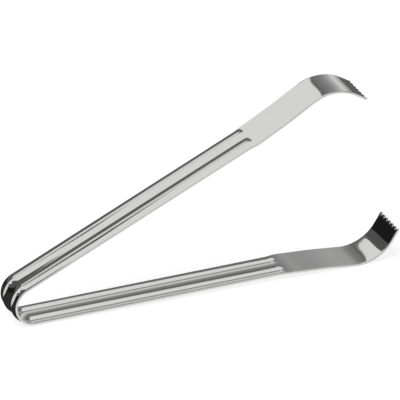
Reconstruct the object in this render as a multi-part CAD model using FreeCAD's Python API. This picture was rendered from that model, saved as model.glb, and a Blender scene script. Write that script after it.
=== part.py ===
import FreeCAD, Part
import math
import os

# Spring tongs with toothed claws, bent from one strip of stainless steel.
# Millimetres and degrees. The middle of the strip is the bow, the spring that
# carries the two arms, and each arm ends in a claw.
# +X runs from the bow to the claws, +Y across the strip and +Z up. The lower
# arm lies on z = 0, and the origin is below the middle of the tongs' box.

# The strip
strip_width = 20.0
strip_thickness = 1.0

# Two narrow ribs pressed outwards along each handle and round the bow. The
# strip is hollow between them and from each rib to the strip's side.
rib_draw_in = 1.4           # how much narrower the ribs leave the strip
rib_spacing = 9.6           # between the ribs' crests
rib_height = 0.65
rib_crest_radius = 1.2
rib_run_out = 3.5           # over which the ribs die away at the handle's end

# Side shape of an arm, in order from the bow; radii are of the inner face
bow_inner_radius = 8.3
half_opening = 12.0         # between a handle and the line midway between the arms
handle_length = 121.5
set_radius = 40.0           # slight outward bend from handle to paddle
set_angle = 5.2
paddle_length = 28.5
claw_radius = 18.9          # inward curl of the claw
claw_angle = 61.3
tip_length = 6.0            # straight end of the claw, with the teeth

# Teeth cut in the claw's end
tooth_count = 7
tooth_depth = 1.6
tooth_land = 0.3            # flat left on a tooth's point
tooth_inset = 0.5           # from the strip's side to the outer teeth's middles

# Worked out from the sizes above
half_thickness = strip_thickness / 2
bow_middle_radius = bow_inner_radius + half_thickness
set_middle_radius = set_radius - half_thickness
claw_middle_radius = claw_radius + half_thickness
half_bow_angle = 90.0 - half_opening
handle_side = (strip_width - rib_draw_in) / 2
rib_offset = rib_spacing / 2
ribbed_length = handle_length - rib_run_out


def vector(x=0.0, y=0.0, z=0.0):
    """Shorthand for a FreeCAD vector."""
    return FreeCAD.Vector(x, y, z)


def lift(angle):
    """Rotation that turns +X towards +Z by an angle."""
    return FreeCAD.Rotation(vector(y=-1.0), angle)


# A station is a placement on the strip's middle surface: its X axis points
# along the strip, its Y axis across it and its Z axis out of the tongs.

def straight_end(length):
    """Station at the end of a straight run, seen from its start."""
    return FreeCAD.Placement(vector(x=length), FreeCAD.Rotation())


def bend_end(radius, angle):
    """Station at the end of a bend, outwards for a positive angle."""
    centre = vector(z=math.copysign(radius, angle))
    turn = lift(angle)
    return FreeCAD.Placement(centre - turn.multVec(centre), turn)


def straight_run(section, length):
    """Solid of a section along a straight run from the origin."""
    return section.extrude(vector(x=length))


def bent_run(section, radius, angle):
    """Solid of a section round a bend from the origin."""
    centre = vector(z=math.copysign(radius, angle))
    axis = vector(y=-math.copysign(1.0, angle))
    return section.revolve(centre, axis, abs(angle))


def placed(shape, station):
    """Copy of a shape moved from the origin to a station."""
    copy = shape.copy()
    copy.Placement = station.multiply(copy.Placement)
    return copy


def plate(points):
    """Flat piece of strip whose plan outline runs through the points."""
    outline = Part.makePolygon(points + points[:1])
    outline.translate(vector(z=-half_thickness))
    return Part.Face(outline).extrude(vector(z=strip_thickness))


def flat_section():
    """Cross-section of the flat strip."""
    side = strip_width / 2
    corners = [vector(y=-side, z=-half_thickness),
               vector(y=side, z=-half_thickness),
               vector(y=side, z=half_thickness),
               vector(y=-side, z=half_thickness)]
    return Part.Face(Part.makePolygon(corners + corners[:1]))


def hollow_points(reach):
    """How far in from a rib's crest, and how high, its hollow starts and is halfway.

    The hollow is an arc that is level at its far end, a reach from the crest,
    and meets the rounded crest without a corner.
    """
    radius = (reach ** 2 + rib_height ** 2) / (2 * rib_height) - rib_crest_radius
    spread = math.asin(reach / (radius + rib_crest_radius))
    return [(reach - radius * math.sin(turn), radius * (1 - math.cos(turn)))
            for turn in (spread, spread / 2)]


def ribbed_points(level):
    """Points across the ribbed strip, two to an arc, from one side to the other."""
    outer_start, outer_middle = hollow_points(handle_side - rib_offset)
    inner_start, inner_middle = hollow_points(rib_offset)
    half = [(handle_side, 0.0),
            (rib_offset + outer_middle[0], outer_middle[1]),
            (rib_offset + outer_start[0], outer_start[1]),
            (rib_offset, rib_height),
            (rib_offset - inner_start[0], inner_start[1])]
    far = [vector(y=place, z=level + height) for place, height in half]
    near = [vector(y=-place, z=level + height) for place, height in half]
    return near + [vector(z=level)] + far[::-1]


def ribbed_wire():
    """Outline of the strip's cross-section with its two ribs."""
    edges = []
    for level in (half_thickness, -half_thickness):
        points = ribbed_points(level)
        for number in range(0, len(points) - 1, 2):
            edges.append(Part.Arc(*points[number:number + 3]).toShape())
    for side in (-handle_side, handle_side):
        edges.append(Part.makeLine(vector(y=side, z=-half_thickness),
                                   vector(y=side, z=half_thickness)))
    return Part.Wire(Part.__sortEdges__(edges))


def ribbed_section():
    """Cross-section of the strip with its two ribs."""
    return Part.Face(ribbed_wire())


def flattened_wire():
    """Outline of the flat strip, divided where the ribbed outline is."""
    spread = strip_width / (2 * handle_side)
    corners = []
    for level in (half_thickness, -half_thickness):
        row = [vector(y=point.y * spread, z=level) for point in ribbed_points(level)[::2]]
        corners += row if level > 0 else row[::-1]
    return Part.makePolygon(corners + corners[:1])


def handle():
    """Ribbed handle, which widens to the paddle where its ribs die away."""
    run_out_start = ribbed_wire()
    run_out_start.translate(vector(x=ribbed_length))
    run_out_end = flattened_wire()
    run_out_end.translate(vector(x=handle_length))
    run_out = Part.makeLoft([run_out_start, run_out_end], True, True)
    return straight_run(ribbed_section(), ribbed_length).fuse(run_out)


def tip():
    """Straight end of the claw with its row of teeth."""
    side = strip_width / 2
    pitch = (strip_width - 2 * tooth_inset) / (tooth_count - 1)
    half_mouth = (pitch - tooth_land) / 2
    points = [vector(0.0, -side), vector(tip_length, -side)]
    for gap in range(tooth_count - 1):
        middle = -side + tooth_inset + (gap + 0.5) * pitch
        points.append(vector(tip_length, middle - half_mouth))
        points.append(vector(tip_length - tooth_depth, middle))
        points.append(vector(tip_length, middle + half_mouth))
    points.append(vector(tip_length, side))
    points.append(vector(0.0, side))
    return plate(points)


def joined(pieces):
    """One solid of pieces that meet, without the seams between them."""
    return pieces[0].fuse(pieces[1:]).removeSplitter().Solids[0]


def arm(start):
    """Upper arm from its station at the bow, and the station at its claw."""
    bend_start = start.multiply(straight_end(handle_length))
    paddle_start = bend_start.multiply(bend_end(set_middle_radius, set_angle))
    pieces = [placed(handle(), start),
              placed(bent_run(flat_section(), set_middle_radius, set_angle), bend_start),
              placed(straight_run(flat_section(), paddle_length), paddle_start)]
    return joined(pieces), paddle_start.multiply(straight_end(paddle_length))


def claw(start):
    """Upper claw from its station at the paddle's end."""
    tip_start = start.multiply(bend_end(claw_middle_radius, -claw_angle))
    return joined([placed(bent_run(flat_section(), claw_middle_radius, -claw_angle), start),
                   placed(tip(), tip_start)])


def bow(start):
    """Bow from its station at the lower arm, as one ribbed bend."""
    return placed(bent_run(ribbed_section(), bow_middle_radius, -2 * half_bow_angle), start)


def rest_angle(bow_centre, claw_centre):
    """Lift that lays the outside of the bow and of the lower claw on one level."""
    bow_radius = bow_middle_radius + half_thickness + rib_height
    curl_radius = claw_middle_radius + half_thickness
    reach = claw_centre - bow_centre
    drop = math.atan2(reach.z, reach.x)
    return math.degrees(math.asin((curl_radius - bow_radius) / reach.Length) - drop)


def main():
    """Build every node, lay the tongs on the lower arm and write the parts."""
    apex = FreeCAD.Placement(vector(), lift(90.0))
    half_bow = bend_end(bow_middle_radius, -half_bow_angle)
    upper_arm, claw_start = arm(apex.multiply(half_bow))
    upper_claw = claw(claw_start)
    mirror_normal = vector(z=1.0)
    nodes = {
        "spring_bow": bow(apex.multiply(half_bow.inverse())),
        "upper_arm": upper_arm,
        "lower_arm": upper_arm.mirror(vector(), mirror_normal),
        "upper_claw": upper_claw,
        "lower_claw": upper_claw.mirror(vector(), mirror_normal),
    }
    bow_centre = vector(x=bow_middle_radius)
    claw_centre = claw_start.multVec(vector(z=-claw_middle_radius))
    claw_centre.z = -claw_centre.z
    lay_down = FreeCAD.Placement(vector(), lift(rest_angle(bow_centre, claw_centre)))
    laid = {name: placed(solid, lay_down) for name, solid in nodes.items()}

    box = Part.makeCompound(list(laid.values())).optimalBoundingBox(False, False)
    to_origin = vector(-box.Center.x, -box.Center.y, -box.ZMin)
    os.makedirs("parts", exist_ok=True)
    for name, solid in laid.items():
        solid.translate(to_origin)
        solid.exportStep(f"parts/{name}.step")
    print(f"size {box.XLength:.3f} x {box.YLength:.3f} x {box.ZLength:.3f} mm,",
          f"laid down by {rest_angle(bow_centre, claw_centre):.4f} degrees")


main()
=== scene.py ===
import math
from collections import namedtuple

import bmesh
import bpy
from bpy.props import FloatProperty, FloatVectorProperty, IntProperty, PointerProperty
from mathutils import Matrix, Quaternion, Vector
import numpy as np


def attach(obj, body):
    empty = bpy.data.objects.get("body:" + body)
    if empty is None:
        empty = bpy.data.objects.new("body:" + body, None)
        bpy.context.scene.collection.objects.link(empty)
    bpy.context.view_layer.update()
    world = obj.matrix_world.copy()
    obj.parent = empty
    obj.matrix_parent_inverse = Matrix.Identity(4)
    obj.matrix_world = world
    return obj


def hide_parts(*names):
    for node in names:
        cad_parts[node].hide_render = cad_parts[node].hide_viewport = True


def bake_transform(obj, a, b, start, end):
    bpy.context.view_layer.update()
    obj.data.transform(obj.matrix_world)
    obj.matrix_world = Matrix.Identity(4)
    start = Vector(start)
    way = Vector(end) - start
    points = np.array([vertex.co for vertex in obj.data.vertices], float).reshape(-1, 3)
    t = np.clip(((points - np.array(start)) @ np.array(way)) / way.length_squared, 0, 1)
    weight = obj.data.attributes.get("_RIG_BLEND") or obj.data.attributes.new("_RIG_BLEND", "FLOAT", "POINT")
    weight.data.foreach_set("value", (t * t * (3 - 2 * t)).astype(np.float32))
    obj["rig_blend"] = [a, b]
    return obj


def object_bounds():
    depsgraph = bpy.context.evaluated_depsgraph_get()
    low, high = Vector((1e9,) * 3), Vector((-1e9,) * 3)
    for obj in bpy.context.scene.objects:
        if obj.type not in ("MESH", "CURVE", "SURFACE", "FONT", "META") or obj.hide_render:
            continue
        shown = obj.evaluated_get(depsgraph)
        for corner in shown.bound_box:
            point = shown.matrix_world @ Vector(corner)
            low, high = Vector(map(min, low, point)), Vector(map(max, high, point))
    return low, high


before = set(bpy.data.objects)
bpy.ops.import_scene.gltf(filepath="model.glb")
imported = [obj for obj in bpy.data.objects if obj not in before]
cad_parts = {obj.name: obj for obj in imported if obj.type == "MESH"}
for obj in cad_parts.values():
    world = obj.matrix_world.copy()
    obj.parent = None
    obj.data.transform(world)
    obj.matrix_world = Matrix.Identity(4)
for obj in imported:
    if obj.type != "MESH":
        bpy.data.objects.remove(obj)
cad_low, cad_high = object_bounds()

bl_info = {
    "name": "Spring Serving Tongs",
    "version": (1, 0, 0),
    "blender": (4, 5, 0),
    "location": "3D View > Sidebar > Tongs",
    "description": "Spring tongs bent from one strip of polished steel, and a plain studio for them",
    "category": "Object",
}

MM = 0.001
WHITE = (1.0, 1.0, 1.0, 1.0)

# Steps that each stretch of the strip is divided into
BOW_STEPS = 40
HANDLE_STEPS = 12
RUN_OUT_STEPS = 16
SET_STEPS = 8
PADDLE_STEPS = 24
CLAW_STEPS = 40
RIM_STEPS = 3
SHORT_STEP = 0.002              # first and last step of a bend, as a share of it
SHORT_RUN = 0.05 * MM           # first step of a straight run
TOOTH_BASE = 0.4 * MM           # from the last straight row to the roots of the teeth

# Columns from the strip's middle to a crest, over the crest and on to the strip's side
MIDDLE_COLUMNS = 12
CREST_COLUMNS = 10
SIDE_COLUMNS = 14
CREST_SHARE = 0.12              # half the stretch over a crest, as a share of its offset

CLAW_EASE = 0.4                 # share of a claw's curl over which its hollow deepens
TINY = 1e-7                     # length below which two rows are the same
SHARP = math.radians(60.0)      # least angle of an edge that isn't shaded smooth
MIRROR = Matrix.Scale(-1.0, 4, Vector((0.0, 0.0, 1.0)))

# Polishing marks and broader smears: how many to the metre along, across and through the
# strip, and the part of the noise's range that shows
MARK_COUNTS = (60.0, 5200.0, 900.0)
MARK_RANGE = (0.45, 0.75)
MARK_STRENGTH = 0.25
SMEAR_COUNTS = (70.0, 260.0, 300.0)
SMEAR_RANGE = (0.5, 0.8)
NOISE_ROUGHNESS = 0.6

FLOOR_REACH = 10.0              # from the tongs to the floor's sides
FLOOR_GLOW = 0.8                # share of plain white that the camera sees in the floor
LAMP_PLACE = (-0.35, -0.25, 1.0)    # as shares of the lamp's height
CARD_STEP = math.radians(8.0)   # widest facet of a curved card
SENSOR_WIDTH = 36.0

# Curved cards round the tongs: how far off in millimetres, the top edge through points at
# (azimuth, elevation), the lowest elevation, and the glow as (elevation, level). Every angle
# is in degrees, and azimuths turn from +Y towards +X.
Card = namedtuple("Card", "name distance edge lowest glow")
CARDS = (
    Card("left_card", 3000.0, edge=((-54.0, 30.0), (-20.0, 29.3), (-17.0, 28.7)), lowest=0.0,
         glow=((0.0, 0.015), (16.0, 0.015), (17.0, 0.11), (30.0, 0.12))),
    Card("left_back_card", 3000.0, lowest=0.0,
         edge=((-17.0, 28.7), (-14.0, 29.6), (-7.0, 32.2), (0.0, 33.5)),
         glow=((0.0, 0.14), (20.0, 0.15), (33.0, 0.16))),
    Card("back_card", 3000.0, edge=((0.0, 33.5), (5.0, 34.0), (12.0, 34.9)), lowest=0.0,
         glow=((0.0, 1.3), (5.0, 1.2), (8.0, 1.0), (11.0, 0.82), (16.0, 0.58), (21.0, 0.36),
               (25.0, 0.25), (29.0, 0.2), (35.0, 0.17))),
    Card("right_card", 3000.0, lowest=0.0,
         edge=((12.0, 34.9), (20.0, 38.5), (27.0, 43.0), (40.0, 48.0), (270.0, 48.0)),
         glow=((0.0, 0.3), (4.0, 0.42), (8.0, 0.7), (12.0, 0.83), (16.0, 0.7), (21.0, 0.47),
               (26.0, 0.34), (30.0, 0.26), (35.0, 0.2), (48.0, 0.2))),
    Card("low_left_card", 3000.0, edge=((-54.0, 0.0), (20.0, 0.0)), lowest=-70.0,
         glow=((-70.0, 0.03), (0.0, 0.04))),
    Card("low_right_card", 3000.0, edge=((25.0, 0.0), (60.0, 0.0)), lowest=-40.0,
         glow=((-40.0, 0.13), (0.0, 0.14))),
    Card("near_card", 277.0, edge=((-56.0, 38.0), (-42.0, 41.0), (-24.0, 39.0)), lowest=22.0,
         glow=((22.0, 0.1), (41.0, 0.13))),
    Card("near_high_card", 301.0, edge=((-48.0, 64.0), (-34.0, 64.0)), lowest=54.5,
         glow=((54.5, 0.13), (64.0, 0.13))),
)


# ---------------------------------------------------------------- settings

def length(name, description, millimetres):
    """A length property, given in millimetres and kept in metres."""
    return FloatProperty(name=name, description=description, default=millimetres * MM,
                         min=0.0, precision=5, subtype="DISTANCE", unit="LENGTH")


def angle(name, description, degrees):
    """An angle property, given in degrees and kept in radians."""
    return FloatProperty(name=name, description=description, default=math.radians(degrees),
                         subtype="ANGLE", unit="ROTATION")


def share(name, description, value):
    """A plain number from nought to one."""
    return FloatProperty(name=name, description=description, default=value,
                         min=0.0, max=1.0, precision=3, subtype="FACTOR")


def colour(name, description, value):
    """A linear colour with alpha."""
    return FloatVectorProperty(name=name, description=description, default=(*value, 1.0),
                               min=0.0, max=1.0, size=4, subtype="COLOR")


class TongsStrip(bpy.types.PropertyGroup):
    """Sizes of the strip and of the side shape that it is bent to"""

    strip_width: length("Strip Width", "Width of the flat strip", 20.0)
    strip_thickness: length("Strip Thickness", "Thickness of the steel", 1.0)
    rim_radius: length("Rim Radius", "Rounding of the strip's polished rims", 0.3)
    rib_draw_in: length("Rib Draw-in", "How much narrower the ribs leave the strip", 1.4)
    rib_spacing: length("Rib Spacing", "Between the crests of the two ribs", 9.6)
    rib_height: length("Rib Height", "How far the ribs stand out", 0.65)
    rib_crest_radius: length("Rib Crest Radius", "Rounding of a rib's crest", 1.2)
    rib_run_out: length("Rib Run-out", "Length over which the ribs die away", 3.5)
    claw_dish: length("Claw Dish", "How far a claw's middle is hollowed by its curl", 0.06)
    paddle_bow: length("Paddle Bow", "How far a paddle's middle bows inwards", 0.25)
    bow_inner_radius: length("Bow Radius", "Inner radius of the spring bow", 8.3)
    half_opening: angle("Half Opening", "From a handle to the middle line", 12.0)
    handle_length: length("Handle Length", "Straight ribbed run of an arm", 121.5)
    set_radius: length("Set Radius", "Inner radius of the outward bend", 40.0)
    set_angle: angle("Set Angle", "Outward bend from handle to paddle", 5.2)
    paddle_length: length("Paddle Length", "Straight flat run of an arm", 28.5)
    claw_radius: length("Claw Radius", "Inner radius of the claw's curl", 18.9)
    claw_angle: angle("Claw Angle", "Inward curl of the claw", 61.3)
    tip_length: length("Tip Length", "Straight end of the claw", 6.0)
    tooth_count: IntProperty(name="Teeth", description="Teeth across a claw", default=7, min=2)
    tooth_depth: length("Tooth Depth", "Depth of the cuts between the teeth", 1.6)
    tooth_land: length("Tooth Land", "Flat left on a tooth's point", 0.3)
    tooth_inset: length("Tooth Inset", "From the side to the outer teeth's middles", 0.5)


class TongsFinish(bpy.types.PropertyGroup):
    """Look of the polished steel"""

    steel: colour("Steel", "Colour of the polished faces", (0.64, 0.64, 0.635))
    streak: colour("Streak", "Colour of the faint polishing streaks", (0.60, 0.60, 0.60))
    face_roughness: share("Face Roughness", "Roughness of the polished faces", 0.05)
    streak_roughness: share("Streak Roughness", "Roughness in the polishing streaks", 0.11)
    mark_depth: length("Mark Depth", "Depth of the polishing marks", 0.0006)


class TongsStudio(bpy.types.PropertyGroup):
    """Floor, lamps, cards and camera"""

    floor: colour("Floor", "Colour of the floor", (0.93, 0.93, 0.93))
    sky_level: share("Sky Level", "Strength of the plain light from all round", 0.75)
    lamp_power: FloatProperty(name="Lamp Power", description="Power of the overhead lamp",
                              default=42.0, min=0.0, unit="POWER")
    lamp_size: length("Lamp Size", "Side of the square overhead lamp", 1300.0)
    lamp_height: length("Lamp Height", "Height of the overhead lamp", 2000.0)
    view_azimuth: angle("View Azimuth", "Camera's place round the tongs", -22.17)
    view_elevation: angle("View Elevation", "Camera's angle above the floor", 25.76)
    view_roll: angle("View Roll", "Camera's turn about its line of sight", -0.53)
    view_distance: length("View Distance", "From the camera to the tongs", 6200.0)
    view_width: length("View Width", "Width that the camera takes in", 177.7)
    view_centre: FloatVectorProperty(name="View Centre", description="Middle of the picture",
                                     default=(2.02 * MM, 4.1 * MM, 40.0 * MM),
                                     size=3, precision=5, subtype="TRANSLATION", unit="LENGTH")


# ---------------------------------------------------------------- the strip

def lift(turn):
    """Rotation that turns +X towards +Z by an angle."""
    return Matrix.Rotation(-turn, 4, "Y")


def straight_end(distance):
    """Station at the end of a straight run, seen from its start."""
    return Matrix.Translation((distance, 0.0, 0.0))


def bend_end(radius, turn):
    """Station at the end of a bend, outwards for a positive angle."""
    centre = Vector((0.0, 0.0, math.copysign(radius, turn)))
    return Matrix.Translation(centre - lift(turn) @ centre) @ lift(turn)


def eased(done):
    """Share of a change that starts and ends gently."""
    return done * done * (3.0 - 2.0 * done)


def divided(first, last, parts):
    """Places that divide a stretch evenly, with its start left out."""
    return [first + (last - first) * part / parts for part in range(1, parts + 1)]


class Strip:
    """Sizes that follow from the settings, and the stations along the tongs."""

    def __init__(self, sizes):
        self.sizes = sizes
        self.half_thickness = sizes.strip_thickness / 2
        self.bow_radius = sizes.bow_inner_radius + self.half_thickness
        self.set_radius = sizes.set_radius - self.half_thickness
        self.claw_radius = sizes.claw_radius + self.half_thickness
        self.half_bow_angle = math.radians(90.0) - sizes.half_opening
        self.handle_side = (sizes.strip_width - sizes.rib_draw_in) / 2
        self.paddle_side = sizes.strip_width / 2
        self.rib_offset = sizes.rib_spacing / 2
        self.ribbed_length = sizes.handle_length - sizes.rib_run_out
        self.tooth_pitch = ((sizes.strip_width - 2 * sizes.tooth_inset)
                            / (sizes.tooth_count - 1))
        self.half_mouth = (self.tooth_pitch - sizes.tooth_land) / 2
        self.place_stations()

    def place_stations(self):
        """Lay the tongs on the lower arm, with the bow at the CAD box's low end."""
        apex = lift(math.radians(90.0))
        self.handle_start = apex @ bend_end(self.bow_radius, -self.half_bow_angle)
        paddle_start = (self.handle_start @ straight_end(self.sizes.handle_length)
                        @ bend_end(self.set_radius, self.sizes.set_angle))
        self.claw_start = paddle_start @ straight_end(self.sizes.paddle_length)
        self.apex = apex

        bow_centre = Vector((self.bow_radius, 0.0, 0.0))
        curl_centre = self.claw_start @ Vector((0.0, 0.0, -self.claw_radius))
        curl_centre.z = -curl_centre.z
        bow_outside = self.bow_radius + self.half_thickness + self.sizes.rib_height
        curl_outside = self.claw_radius + self.half_thickness
        reach = curl_centre - bow_centre
        tilt = (math.asin((curl_outside - bow_outside) / reach.length)
                - math.atan2(reach.z, reach.x))
        place = Vector((cad_low.x + bow_outside, 0.0, cad_low.z + bow_outside))
        self.laid = Matrix.Translation(place - lift(tilt) @ bow_centre) @ lift(tilt)

    def rib_rise(self, across):
        """Height of the ribbed strip at a place across it."""
        from_crest = abs(across) - self.rib_offset
        reach = self.rib_offset if from_crest < 0.0 else self.handle_side - self.rib_offset
        from_crest = min(abs(from_crest), reach)
        height, crest = self.sizes.rib_height, self.sizes.rib_crest_radius
        hollow = (reach ** 2 + height ** 2) / (2 * height) - crest
        if from_crest < reach * crest / (hollow + crest):
            return height - crest + math.sqrt(crest ** 2 - from_crest ** 2)
        return hollow - math.sqrt(hollow ** 2 - (reach - from_crest) ** 2)

    def claw_rise(self, done, across):
        """Height of the claw's face, hollowed along its middle once its curl has begun."""
        hollow = self.sizes.claw_dish * (1.0 - (across / self.paddle_side) ** 4)
        return -hollow * eased(min(1.0, done / CLAW_EASE))

    def paddle_rise(self, done):
        """Height of the paddle's face, which bows inwards."""
        return -self.sizes.paddle_bow * math.sin(math.pi * done) ** 2

    def ribbed_columns(self):
        """Places across the ribbed strip, closest together over the crests."""
        crest, side = self.rib_offset, self.handle_side
        near = CREST_SHARE * crest
        half = ([0.0] + divided(0.0, crest - near, MIDDLE_COLUMNS)
                + divided(crest - near, crest + near, CREST_COLUMNS)
                + divided(crest + near, side, SIDE_COLUMNS))
        return sorted({-place for place in half} | set(half))

    def toothed_columns(self):
        """Places across the claw, at the points and roots of its teeth."""
        side, mouth = self.paddle_side, self.half_mouth
        columns = [-side]
        for gap in range(self.sizes.tooth_count - 1):
            root = -side + self.sizes.tooth_inset + (gap + 0.5) * self.tooth_pitch
            columns += [root - mouth, root - mouth / 2, root, root + mouth / 2, root + mouth]
        return columns + [side]

    def cut_back(self, across):
        """How far the claw's edge is cut back at a place across it."""
        tooth = (across + self.paddle_side - self.sizes.tooth_inset) / self.tooth_pitch
        if not 0.0 <= tooth <= self.sizes.tooth_count - 1:
            return 0.0
        from_root = abs(tooth % 1.0 - 0.5) * self.tooth_pitch
        return self.sizes.tooth_depth * max(0.0, 1.0 - from_root / self.half_mouth)


class Sweep:
    """A section of the strip, swept along it run by run."""

    def __init__(self, strip, columns, rise, start):
        self.strip = strip
        self.mesh = bmesh.new()
        floats = self.mesh.verts.layers.float
        self.along = floats.new("along")
        self.across = floats.new("across")
        self.level = floats.new("level")
        self.station = Matrix.Identity(4)
        self.place = start
        self.section = self.first_section(columns, rise)

    def first_section(self, columns, rise):
        """A row across the strip, drawn out point by point and given its thickness."""
        half = self.strip.half_thickness
        point = bmesh.ops.create_vert(self.mesh, co=(0.0, 0.0, 0.0))["vert"][0]
        for number, across in enumerate(columns):
            if number:
                point = bmesh.ops.extrude_vert_indiv(self.mesh, verts=[point])["verts"][0]
            point.co = (0.0, across, half + rise(across))
            point[self.across] = across
        inner = bmesh.ops.extrude_edge_only(self.mesh, edges=self.mesh.edges[:])["geom"]
        inner = [part for part in inner if isinstance(part, bmesh.types.BMVert)]
        bmesh.ops.translate(self.mesh, verts=inner, vec=(0.0, 0.0, -2 * half))
        for point in self.mesh.verts:
            point[self.along] = self.place
            point[self.level] = half
        for point in inner:
            point[self.level] = -half
        return self.mesh.faces[:] + self.mesh.edges[:] + self.mesh.verts[:]

    def points(self):
        """The section's points, where the sweep has come to."""
        return [part for part in self.section if isinstance(part, bmesh.types.BMVert)]

    def mark_row(self):
        """Write the distance along the strip on the row just made."""
        for point in self.points():
            point[self.along] = self.place

    def run(self, distance):
        """Carry the section straight on."""
        ahead = self.station.to_3x3() @ Vector((distance, 0.0, 0.0))
        self.section = bmesh.ops.spin(self.mesh, geom=self.section, cent=(0.0, 0.0, 0.0),
                                      axis=(0.0, 1.0, 0.0), dvec=ahead, angle=0.0,
                                      steps=1)["geom_last"]
        self.station = self.station @ straight_end(distance)
        self.place += distance
        self.mark_row()

    def bend(self, radius, turn):
        """Carry the section round one step of a bend."""
        centre = self.station @ Vector((0.0, 0.0, math.copysign(radius, turn)))
        self.section = bmesh.ops.spin(self.mesh, geom=self.section, cent=centre,
                                      axis=(0.0, -1.0, 0.0), dvec=(0.0, 0.0, 0.0),
                                      angle=turn, steps=1)["geom_last"]
        self.station = self.station @ bend_end(radius, turn)
        self.place += radius * abs(turn)
        self.mark_row()

    def whole_bend(self, radius, turn, steps):
        """A bend in even steps, with a short one at each end to hold its shading."""
        short = turn * SHORT_STEP
        self.bend(radius, short)
        for _ in range(steps):
            self.bend(radius, (turn - 2 * short) / steps)
        self.bend(radius, short)

    def shape_row(self, rise, side=lambda y: y, ahead=lambda y: 0.0):
        """Set the row's height, and how far across and ahead it lies, by the place across."""
        for point in self.points():
            across = point[self.across]
            shaped = Vector((ahead(across), side(across), point[self.level] + rise(across)))
            point.co = self.station @ shaped

    def rims(self):
        """Long edges along the strip's four corners."""
        self.mesh.normal_update()
        found = []
        for edge in self.mesh.edges:
            first, last = edge.verts
            crosses = abs(first[self.along] - last[self.along]) > TINY
            if crosses and edge.calc_face_angle(0.0) > SHARP:
                found.append(edge)
        return found

    def round_rims(self, radius):
        """Round the strip's four corners."""
        bmesh.ops.bevel(self.mesh, geom=self.rims(), offset=radius, offset_type="OFFSET",
                        segments=RIM_STEPS, profile=0.5, affect="EDGES",
                        clamp_overlap=True, material=-1)

    def finished(self, name, start, lower):
        """The mesh's object, at its place on the upper or the lower arm."""
        if lower:
            bmesh.ops.transform(self.mesh, matrix=start, verts=self.mesh.verts)
            start = MIRROR
        bmesh.ops.transform(self.mesh, matrix=self.strip.laid @ start, verts=self.mesh.verts)
        bmesh.ops.recalc_face_normals(self.mesh, faces=self.mesh.faces)
        for face in self.mesh.faces:
            face.smooth = True
        for edge in self.mesh.edges:
            edge.smooth = edge.calc_face_angle(0.0) < SHARP
        data = bpy.data.meshes.new(name)
        self.mesh.to_mesh(data)
        self.mesh.free()
        data.materials.append(steel_material())
        piece = bpy.data.objects.new(name, data)
        bpy.context.collection.objects.link(piece)
        return piece


def bow_half(strip, name, lower):
    """Half of the bow, from its apex to the start of a handle."""
    sweep = Sweep(strip, strip.ribbed_columns(), strip.rib_rise, 0.0)
    sweep.whole_bend(strip.bow_radius, -strip.half_bow_angle, BOW_STEPS)
    sweep.round_rims(strip.sizes.rim_radius)
    return sweep.finished(name, strip.apex, lower)


def arm(strip, name, lower):
    """Ribbed handle, outward bend and flat paddle."""
    sizes = strip.sizes
    start = strip.bow_radius * strip.half_bow_angle
    sweep = Sweep(strip, strip.ribbed_columns(), strip.rib_rise, start)
    sweep.run(SHORT_RUN)
    for _ in range(HANDLE_STEPS):
        sweep.run((strip.ribbed_length - SHORT_RUN) / HANDLE_STEPS)
    spread = strip.paddle_side / strip.handle_side - 1.0
    for done in divided(0.0, 1.0, RUN_OUT_STEPS):
        sweep.run(sizes.rib_run_out / RUN_OUT_STEPS)
        sweep.shape_row(lambda y: strip.rib_rise(y) * (1.0 - eased(done)),
                        side=lambda y: y * (1.0 + spread * done))
    # The rows that follow take their places across from this widened one
    for point in sweep.points():
        point[sweep.across] *= 1.0 + spread
    sweep.whole_bend(strip.set_radius, sizes.set_angle, SET_STEPS)
    for done in divided(0.0, 1.0, PADDLE_STEPS):
        sweep.run(sizes.paddle_length / PADDLE_STEPS)
        sweep.shape_row(lambda y: strip.paddle_rise(done))
    sweep.round_rims(sizes.rim_radius)
    return sweep.finished(name, strip.handle_start, lower)


def claw(strip, name, lower):
    """Curled claw with its row of teeth."""
    sizes = strip.sizes
    start = strip.bow_radius * strip.half_bow_angle + sizes.handle_length + sizes.paddle_length
    sweep = Sweep(strip, strip.toothed_columns(), lambda y: 0.0, start)
    for done in divided(0.0, 1.0, CLAW_STEPS):
        sweep.bend(strip.claw_radius, -sizes.claw_angle / CLAW_STEPS)
        sweep.shape_row(lambda y: strip.claw_rise(done, y))
    toothed_run = sizes.tooth_depth + TOOTH_BASE
    sweep.run(SHORT_RUN)
    sweep.run(sizes.tip_length - toothed_run - SHORT_RUN)
    sweep.run(toothed_run)
    sweep.shape_row(lambda y: strip.claw_rise(1.0, y), ahead=lambda y: -strip.cut_back(y))
    sweep.round_rims(sizes.rim_radius)
    return sweep.finished(name, strip.claw_start, lower)


# ---------------------------------------------------------------- materials

def new_material(name):
    """An empty node material."""
    material = bpy.data.materials.new(name)
    material.use_nodes = True
    material.node_tree.nodes.clear()
    return material


def add_node(tree, kind, inputs=(), **settings):
    """A node with its settings, and its inputs given as values or as links."""
    node = tree.nodes.new(kind)
    for key, value in settings.items():
        setattr(node, key, value)
    for socket, value in dict(inputs).items():
        if isinstance(value, bpy.types.NodeSocket):
            tree.links.new(value, node.inputs[socket])
        else:
            node.inputs[socket].default_value = value
    return node


def noise(tree, place, counts, detail):
    """Noise with so many marks to the metre each way."""
    mapped = add_node(tree, "ShaderNodeMapping", {"Vector": place, "Scale": counts})
    spots = add_node(tree, "ShaderNodeTexNoise",
                     {"Vector": mapped.outputs[0], "Scale": 1.0, "Detail": detail,
                      "Roughness": NOISE_ROUGHNESS})
    return spots.outputs["Fac"]


def ranged(tree, value, taken, given):
    """A value's range taken to another, and held inside it."""
    mapped = add_node(tree, "ShaderNodeMapRange",
                      {"Value": value, "From Min": taken[0], "From Max": taken[1],
                       "To Min": given[0], "To Max": given[1]})
    return mapped.outputs["Result"]


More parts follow.
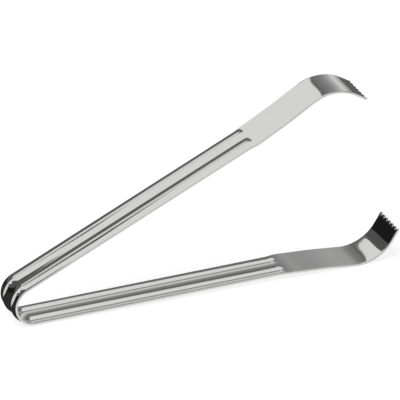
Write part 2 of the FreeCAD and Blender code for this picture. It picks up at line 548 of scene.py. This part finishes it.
def steel_material():
    """Polished steel with fine marks that run along the strip."""
    name = "Polished Steel"
    if name in bpy.data.materials:
        return bpy.data.materials[name]
    finish = bpy.context.scene.tongs_finish
    material = new_material(name)
    tree = material.node_tree

    along = add_node(tree, "ShaderNodeAttribute", attribute_name="along").outputs["Fac"]
    across = add_node(tree, "ShaderNodeAttribute", attribute_name="across").outputs["Fac"]
    level = add_node(tree, "ShaderNodeAttribute", attribute_name="level").outputs["Fac"]
    place = add_node(tree, "ShaderNodeCombineXYZ", {"X": along, "Y": across, "Z": level})

    marks = noise(tree, place.outputs[0], MARK_COUNTS, 3.0)
    smears = noise(tree, place.outputs[0], SMEAR_COUNTS, 4.0)
    streaks = add_node(tree, "ShaderNodeMath", {0: ranged(tree, marks, MARK_RANGE, (0.0, 1.0)),
                                                1: ranged(tree, smears, SMEAR_RANGE, (0.0, 1.0))},
                       operation="MULTIPLY").outputs[0]
    tint = add_node(tree, "ShaderNodeMix", {"Factor": streaks, "A": finish.steel,
                                            "B": finish.streak}, data_type="RGBA")
    roughness = ranged(tree, streaks, (0.0, 1.0), (finish.face_roughness, finish.streak_roughness))
    bump = add_node(tree, "ShaderNodeBump", {"Height": marks, "Strength": MARK_STRENGTH,
                                             "Distance": finish.mark_depth})
    steel = add_node(tree, "ShaderNodeBsdfPrincipled",
                     {"Base Color": tint.outputs["Result"], "Metallic": 1.0,
                      "Roughness": roughness, "Normal": bump.outputs[0]})
    add_node(tree, "ShaderNodeOutputMaterial", {"Surface": steel.outputs[0]})
    return material


def background_share(tree, weight):
    """How much of a plain background colour camera, mirror and glass rays see."""
    path = add_node(tree, "ShaderNodeLightPath").outputs
    seen = add_node(tree, "ShaderNodeMath", {0: path["Is Camera Ray"], 1: path["Is Glossy Ray"]},
                    operation="ADD")
    seen = add_node(tree, "ShaderNodeMath",
                    {0: seen.outputs[0], 1: path["Is Transmission Ray"]}, operation="ADD")
    seen = add_node(tree, "ShaderNodeMath", {0: seen.outputs[0], 1: weight},
                    operation="MULTIPLY", use_clamp=True)
    return seen.outputs[0]


def floor_material(studio):
    """Plain pale floor that keeps a soft shadow."""
    material = new_material("Studio Floor")
    tree = material.node_tree
    matt = add_node(tree, "ShaderNodeBsdfDiffuse", {"Color": studio.floor})
    glow = add_node(tree, "ShaderNodeEmission", {"Color": WHITE, "Strength": 1.0})
    mixed = add_node(tree, "ShaderNodeMixShader", {0: background_share(tree, FLOOR_GLOW),
                                                   1: matt.outputs[0], 2: glow.outputs[0]})
    add_node(tree, "ShaderNodeOutputMaterial", {"Surface": mixed.outputs[0]})
    return material


def card_material(name, distance, stops):
    """Glow of a card, graded by elevation through stops from low to high."""
    material = new_material(name)
    tree = material.node_tree
    place = add_node(tree, "ShaderNodeTexCoord").outputs["Object"]
    height = add_node(tree, "ShaderNodeSeparateXYZ", {0: place}).outputs["Z"]
    slope = add_node(tree, "ShaderNodeMath", {0: height, 1: distance}, operation="DIVIDE")
    elevation = add_node(tree, "ShaderNodeMath", {0: slope.outputs[0]}, operation="ARCTANGENT")
    low, high = math.radians(stops[0][0]), math.radians(stops[-1][0])
    portion = add_node(tree, "ShaderNodeMapRange", {"Value": elevation.outputs[0],
                                                    "From Min": low, "From Max": high})
    ramp = add_node(tree, "ShaderNodeValToRGB", {"Fac": portion.outputs["Result"]})
    elements = ramp.color_ramp.elements
    brightest = max(level for _, level in stops)
    for degrees, level in stops[1:-1]:
        elements.new((math.radians(degrees) - low) / (high - low))
    for element, (_, level) in zip(elements, stops):
        element.color = (level / brightest,) * 3 + (1.0,)
    glow = add_node(tree, "ShaderNodeEmission", {"Color": ramp.outputs["Color"],
                                                 "Strength": brightest})
    add_node(tree, "ShaderNodeOutputMaterial", {"Surface": glow.outputs[0]})
    material.cycles.emission_sampling = "NONE"
    return material


# ---------------------------------------------------------------- the studio

def stage_object(name, mesh, material):
    """A stage object made from a bmesh."""
    data = bpy.data.meshes.new(name)
    mesh.to_mesh(data)
    mesh.free()
    data.materials.append(material)
    piece = bpy.data.objects.new(name, data)
    bpy.context.collection.objects.link(piece)
    return piece


def add_floor(studio):
    """Floor that the tongs lie on."""
    mesh = bmesh.new()
    bmesh.ops.create_grid(mesh, x_segments=1, y_segments=1, size=FLOOR_REACH)
    floor = stage_object("studio_floor", mesh, floor_material(studio))
    floor.visible_glossy = False


def card_mesh(distance, edge, lowest):
    """Upright curved wall whose top follows an edge of (azimuth, elevation) points."""
    def height(elevation):
        """Height at which the wall has an elevation, seen from its axis."""
        return distance * math.tan(math.radians(elevation))

    azimuths = [math.radians(azimuth) for azimuth, _ in edge]
    mesh = bmesh.new()
    start = (distance * math.sin(azimuths[0]), distance * math.cos(azimuths[0]), height(lowest))
    foot = bmesh.ops.create_vert(mesh, co=start)["vert"][0]
    top = bmesh.ops.extrude_vert_indiv(mesh, verts=[foot])["verts"][0]
    top.co.z = height(edge[0][1])
    line = mesh.edges[:] + mesh.verts[:]
    for number in range(1, len(edge)):
        turn = azimuths[number] - azimuths[number - 1]
        steps = math.ceil(turn / CARD_STEP)
        for done in divided(0.0, 1.0, steps):
            line = bmesh.ops.spin(mesh, geom=line, cent=(0.0, 0.0, 0.0), axis=(0.0, 0.0, -1.0),
                                  dvec=(0.0, 0.0, 0.0), angle=turn / steps,
                                  steps=1)["geom_last"]
            points = [part for part in line if isinstance(part, bmesh.types.BMVert)]
            top = max(points, key=lambda point: point.co.z)
            top.co.z = height(edge[number - 1][1] * (1.0 - done) + edge[number][1] * done)
    return mesh


def add_card(card):
    """Curved card round the tongs, seen only in the steel."""
    distance = card.distance * MM
    piece = stage_object(card.name, card_mesh(distance, card.edge, card.lowest),
                         card_material(card.name, distance, card.glow))
    piece.visible_camera = False
    piece.visible_diffuse = False
    piece.visible_transmission = False
    piece.visible_volume_scatter = False
    piece.visible_shadow = False


def add_lamp(studio):
    """Large soft lamp overhead."""
    data = bpy.data.lights.new("Overhead Lamp", "AREA")
    data.shape = "SQUARE"
    data.size = studio.lamp_size
    data.energy = studio.lamp_power
    lamp = bpy.data.objects.new("Overhead Lamp", data)
    bpy.context.collection.objects.link(lamp)
    lamp.location = Vector(LAMP_PLACE) * studio.lamp_height
    lamp.rotation_mode = "QUATERNION"
    lamp.rotation_quaternion = lamp.location.to_track_quat("Z", "Y")
    lamp.visible_glossy = False


def add_sky(studio):
    """Even light from all round, and a white background."""
    world = bpy.data.worlds.new("Studio")
    bpy.context.scene.world = world
    world.use_nodes = True
    tree = world.node_tree
    tree.nodes.clear()
    light = add_node(tree, "ShaderNodeBackground", {"Color": WHITE, "Strength": studio.sky_level})
    white = add_node(tree, "ShaderNodeBackground", {"Color": WHITE, "Strength": 1.0})
    mixed = add_node(tree, "ShaderNodeMixShader", {0: background_share(tree, 1.0),
                                                   1: light.outputs[0], 2: white.outputs[0]})
    add_node(tree, "ShaderNodeOutputWorld", {"Surface": mixed.outputs[0]})


def add_camera(studio):
    """Camera at the usual three-quarter view."""
    around, up = studio.view_azimuth, studio.view_elevation
    back = Vector((math.sin(around) * math.cos(up), -math.cos(around) * math.cos(up),
                   math.sin(up)))
    data = bpy.data.cameras.new("Camera")
    data.sensor_width = SENSOR_WIDTH
    data.lens = SENSOR_WIDTH * studio.view_distance / studio.view_width
    camera = bpy.data.objects.new("Camera", data)
    bpy.context.collection.objects.link(camera)
    camera.location = Vector(studio.view_centre) + back * studio.view_distance
    camera.rotation_mode = "QUATERNION"
    upright = back.to_track_quat("Z", "Y")
    camera.rotation_quaternion = upright @ Quaternion((0.0, 0.0, 1.0), studio.view_roll)
    bpy.context.scene.camera = camera


# ---------------------------------------------------------------- operators

class TONGS_OT_add_bow(bpy.types.Operator):
    """Add the spring bow, as two halves that flex with the arms"""

    bl_idname = "tongs.add_bow"
    bl_label = "Add Bow"

    def execute(self, context):
        strip = Strip(context.scene.tongs_strip)
        apex = strip.laid @ Vector((0.0, 0.0, 0.0))
        upper_end = strip.laid @ strip.handle_start.translation
        lower_end = strip.laid @ (MIRROR @ strip.handle_start.translation)
        upper = bow_half(strip, "bow_upper_half", False)
        lower = bow_half(strip, "bow_lower_half", True)
        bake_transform(upper, "bow", "upper", start=apex, end=upper_end)
        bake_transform(lower, "lower", "bow", start=lower_end, end=apex)
        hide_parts("spring_bow")
        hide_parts("spring_bow")
        return {"FINISHED"}


class TONGS_OT_add_arms(bpy.types.Operator):
    """Add the two arms, each a ribbed handle and a flat paddle"""

    bl_idname = "tongs.add_arms"
    bl_label = "Add Arms"

    def execute(self, context):
        strip = Strip(context.scene.tongs_strip)
        for side, lower in (("upper", False), ("lower", True)):
            piece = arm(strip, side + "_handle_and_paddle", lower)
            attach(piece, side)
            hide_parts(side + "_arm")
        return {"FINISHED"}


class TONGS_OT_add_claws(bpy.types.Operator):
    """Add the two toothed claws"""

    bl_idname = "tongs.add_claws"
    bl_label = "Add Claws"

    def execute(self, context):
        strip = Strip(context.scene.tongs_strip)
        for side, lower in (("upper", False), ("lower", True)):
            piece = claw(strip, side + "_toothed_claw", lower)
            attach(piece, side)
            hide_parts(side + "_claw")
        return {"FINISHED"}


class TONGS_OT_add_studio(bpy.types.Operator):
    """Add the floor, sky, lamp, cards and camera"""

    bl_idname = "tongs.add_studio"
    bl_label = "Add Studio"

    def execute(self, context):
        studio = context.scene.tongs_studio
        add_floor(studio)
        add_sky(studio)
        add_lamp(studio)
        for card in CARDS:
            add_card(card)
        add_camera(studio)
        return {"FINISHED"}


class TONGS_PT_sidebar(bpy.types.Panel):
    """Sizes, finish and studio of the tongs"""

    bl_idname = "TONGS_PT_sidebar"
    bl_label = "Spring Tongs"
    bl_space_type = "VIEW_3D"
    bl_region_type = "UI"
    bl_category = "Tongs"

    def draw(self, context):
        layout = self.layout
        layout.use_property_split = True
        for title, group in (("Strip", context.scene.tongs_strip),
                             ("Finish", context.scene.tongs_finish),
                             ("Studio", context.scene.tongs_studio)):
            box = layout.box()
            box.label(text=title)
            for name in type(group).__annotations__:
                box.prop(group, name)
        for operator in OPERATORS:
            layout.operator(operator.bl_idname)


OPERATORS = (TONGS_OT_add_bow, TONGS_OT_add_arms, TONGS_OT_add_claws, TONGS_OT_add_studio)
CLASSES = (TongsStrip, TongsFinish, TongsStudio) + OPERATORS + (TONGS_PT_sidebar,)


def register():
    """Register the classes and hang the settings on the scene."""
    for cls in CLASSES:
        bpy.utils.register_class(cls)
    bpy.types.Scene.tongs_strip = PointerProperty(type=TongsStrip)
    bpy.types.Scene.tongs_finish = PointerProperty(type=TongsFinish)
    bpy.types.Scene.tongs_studio = PointerProperty(type=TongsStudio)


def unregister():
    """Take the settings off the scene and unregister the classes."""
    del bpy.types.Scene.tongs_studio
    del bpy.types.Scene.tongs_finish
    del bpy.types.Scene.tongs_strip
    for cls in reversed(CLASSES):
        bpy.utils.unregister_class(cls)


def main():
    """Make the tongs and their studio."""
    register()
    bpy.context.scene.view_settings.view_transform = "Standard"
    bpy.ops.tongs.add_bow()
    bpy.ops.tongs.add_arms()
    bpy.ops.tongs.add_claws()
    bpy.ops.tongs.add_studio()


if __name__ == "__main__":
    main()
